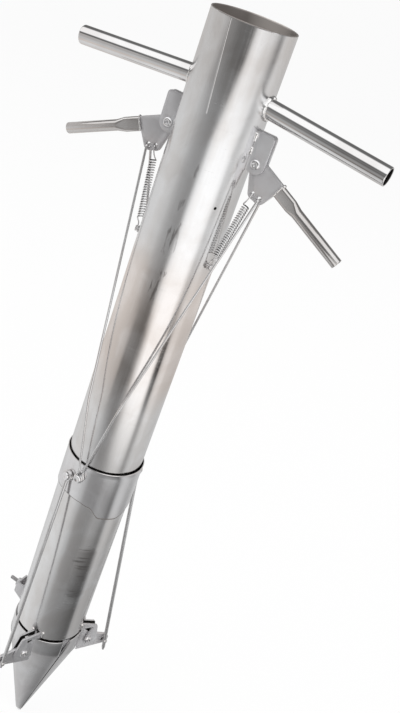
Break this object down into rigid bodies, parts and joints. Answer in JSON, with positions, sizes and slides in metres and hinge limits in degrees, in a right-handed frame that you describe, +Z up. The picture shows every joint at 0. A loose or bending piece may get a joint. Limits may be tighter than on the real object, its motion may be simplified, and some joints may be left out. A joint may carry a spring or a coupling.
{
  "type": "seedling transplanter",
  "caption": "Hand seedling transplanter: a long feed tube with side handles and squeeze levers whose wires lift a sliding collar and open a split planting cone.",
  "frame": {"origin": "closed tip of the planting cone, on the feed tube's axis", "axes": "+Z up the feed tube to its mouth, +X along the right handle, -Y towards the front forks"},
  "size_m": [0.286, 0.1163, 0.766],
  "materials": {
    "tube_steel": "polished stainless tube with fine lengthwise lines",
    "sheet_steel": "satin stainless sheet with cut edges",
    "lever_steel": "satin stainless, scuffed along the edges",
    "jaw_steel": "rolled stainless sheet, lightly brushed",
    "wire_steel": "bright drawn stainless wire",
    "spring_steel": "bright spring wire",
    "fastener_steel": "bright steel with dull recesses"
  },
  "bodies": {
    "frame": {"main_tube": "tube_steel", "handle_right": "tube_steel", "handle_left": "tube_steel", "lever_bracket_right": "sheet_steel", "lever_bracket_left": "sheet_steel", "lever_rivet_right": "fastener_steel", "lever_rivet_left": "fastener_steel", "spring_studs": "fastener_steel", "jaw_fork_right": "sheet_steel", "jaw_fork_left": "sheet_steel", "jaw_rivets": "fastener_steel", "stop_socket": "sheet_steel", "stop_nut": "fastener_steel"},
    "lever_right": {"lever_plate_right": "lever_steel", "lever_grip_right": "lever_steel"},
    "lever_left": {"lever_plate_left": "lever_steel", "lever_grip_left": "lever_steel"},
    "collar": {"lift_collar": "tube_steel", "wire_studs": "fastener_steel", "rod_studs": "fastener_steel", "push_rod_right": "wire_steel", "push_rod_left": "wire_steel"},
    "wire_right": {"pull_wire_right": "wire_steel"},
    "wire_left": {"pull_wire_left": "wire_steel"},
    "jaw_right": {"jaw_band_right": "jaw_steel", "jaw_cone_right": "jaw_steel", "jaw_arm_right": "sheet_steel", "seam_strips": "sheet_steel"},
    "jaw_left": {"jaw_band_left": "jaw_steel", "jaw_cone_left": "jaw_steel", "jaw_arm_left": "sheet_steel"},
    "spring_right": {"return_spring_right": "spring_steel"},
    "spring_left": {"return_spring_left": "spring_steel"},
    "hook_right": {"spring_hook_right": "spring_steel"},
    "hook_left": {"spring_hook_left": "spring_steel"},
    "screw": {"stop_screw": "fastener_steel"}
  },
  "joints": [
    {"name": "lever_right_pivot", "type": "hinge", "parent": "frame", "child": "lever_right", "pos_m": [0.042, 0, 0.6675], "axis": [0, -1, 0], "range_deg": [0, 33], "stiffness_Nm_per_rad": 0.55, "springref_deg": -20.05},
    {"name": "lever_left_pivot", "type": "hinge", "parent": "frame", "child": "lever_left", "pos_m": [-0.042, 0, 0.6675], "axis": [0, 1, 0], "range_deg": [0, 33], "stiffness_Nm_per_rad": 0.55, "springref_deg": -20.05},
    {"name": "collar_lift", "type": "slide", "parent": "frame", "child": "collar", "axis": [0, 0, 1], "range_m": [0, 0.01301]},
    {"name": "wire_right_swing", "type": "hinge", "parent": "collar", "child": "wire_right", "pos_m": [0, 0, 0.345], "axis": [0, 1, 0], "range_deg": [0, 2.25]},
    {"name": "wire_left_swing", "type": "hinge", "parent": "collar", "child": "wire_left", "pos_m": [0, 0, 0.345], "axis": [0, -1, 0], "range_deg": [0, 2.25]},
    {"name": "jaw_right_pivot", "type": "hinge", "parent": "frame", "child": "jaw_right", "pos_m": [0.03724, 0.02211, 0.1245], "axis": [0.8829, -0.4695, 0], "range_deg": [0, 33.22]},
    {"name": "jaw_left_pivot", "type": "hinge", "parent": "frame", "child": "jaw_left", "pos_m": [0.0025, -0.04323, 0.1245], "axis": [-0.8829, 0.4695, 0], "range_deg": [0, 33.22]},
    {"name": "spring_right_swing", "type": "hinge", "parent": "frame", "child": "spring_right", "pos_m": [0.03632, -0.00706, 0.575], "axis": [0, 1, 0], "range_deg": [0, 7.3]},
    {"name": "spring_left_swing", "type": "hinge", "parent": "frame", "child": "spring_left", "pos_m": [-0.03632, -0.00706, 0.575], "axis": [0, -1, 0], "range_deg": [0, 7.3]},
    {"name": "spring_right_stretch", "type": "slide", "parent": "spring_right", "child": "hook_right", "axis": [0.161, 0, 0.9869], "range_m": [0, 0.0088], "deforming": ["return_spring_right"]},
    {"name": "spring_left_stretch", "type": "slide", "parent": "spring_left", "child": "hook_left", "axis": [-0.161, 0, 0.9869], "range_m": [0, 0.0088], "deforming": ["return_spring_left"]},
    {"name": "stop_screw_turn", "type": "hinge", "parent": "frame", "child": "screw", "pos_m": [-0.05, 0, 0.156], "axis": [-1, 0, 0], "continuous": true}
  ],
  "couplings": [
    {"joint": "lever_left_pivot", "follows": "lever_right_pivot", "ratio": 1},
    {"joint": "collar_lift", "follows": "lever_right_pivot", "m_per_rad": 0.022571},
    {"joint": "wire_right_swing", "follows": "lever_right_pivot", "ratio": 0.068182},
    {"joint": "wire_left_swing", "follows": "lever_right_pivot", "ratio": 0.068182},
    {"joint": "jaw_right_pivot", "follows": "lever_right_pivot", "ratio": 1.0061},
    {"joint": "jaw_left_pivot", "follows": "lever_right_pivot", "ratio": 1.0061},
    {"joint": "spring_right_swing", "follows": "lever_right_pivot", "ratio": 0.22121},
    {"joint": "spring_left_swing", "follows": "lever_right_pivot", "ratio": 0.22121},
    {"joint": "spring_right_stretch", "follows": "lever_right_pivot", "m_per_rad": 0.015279},
    {"joint": "spring_left_stretch", "follows": "lever_right_pivot", "m_per_rad": 0.015279}
  ]
}
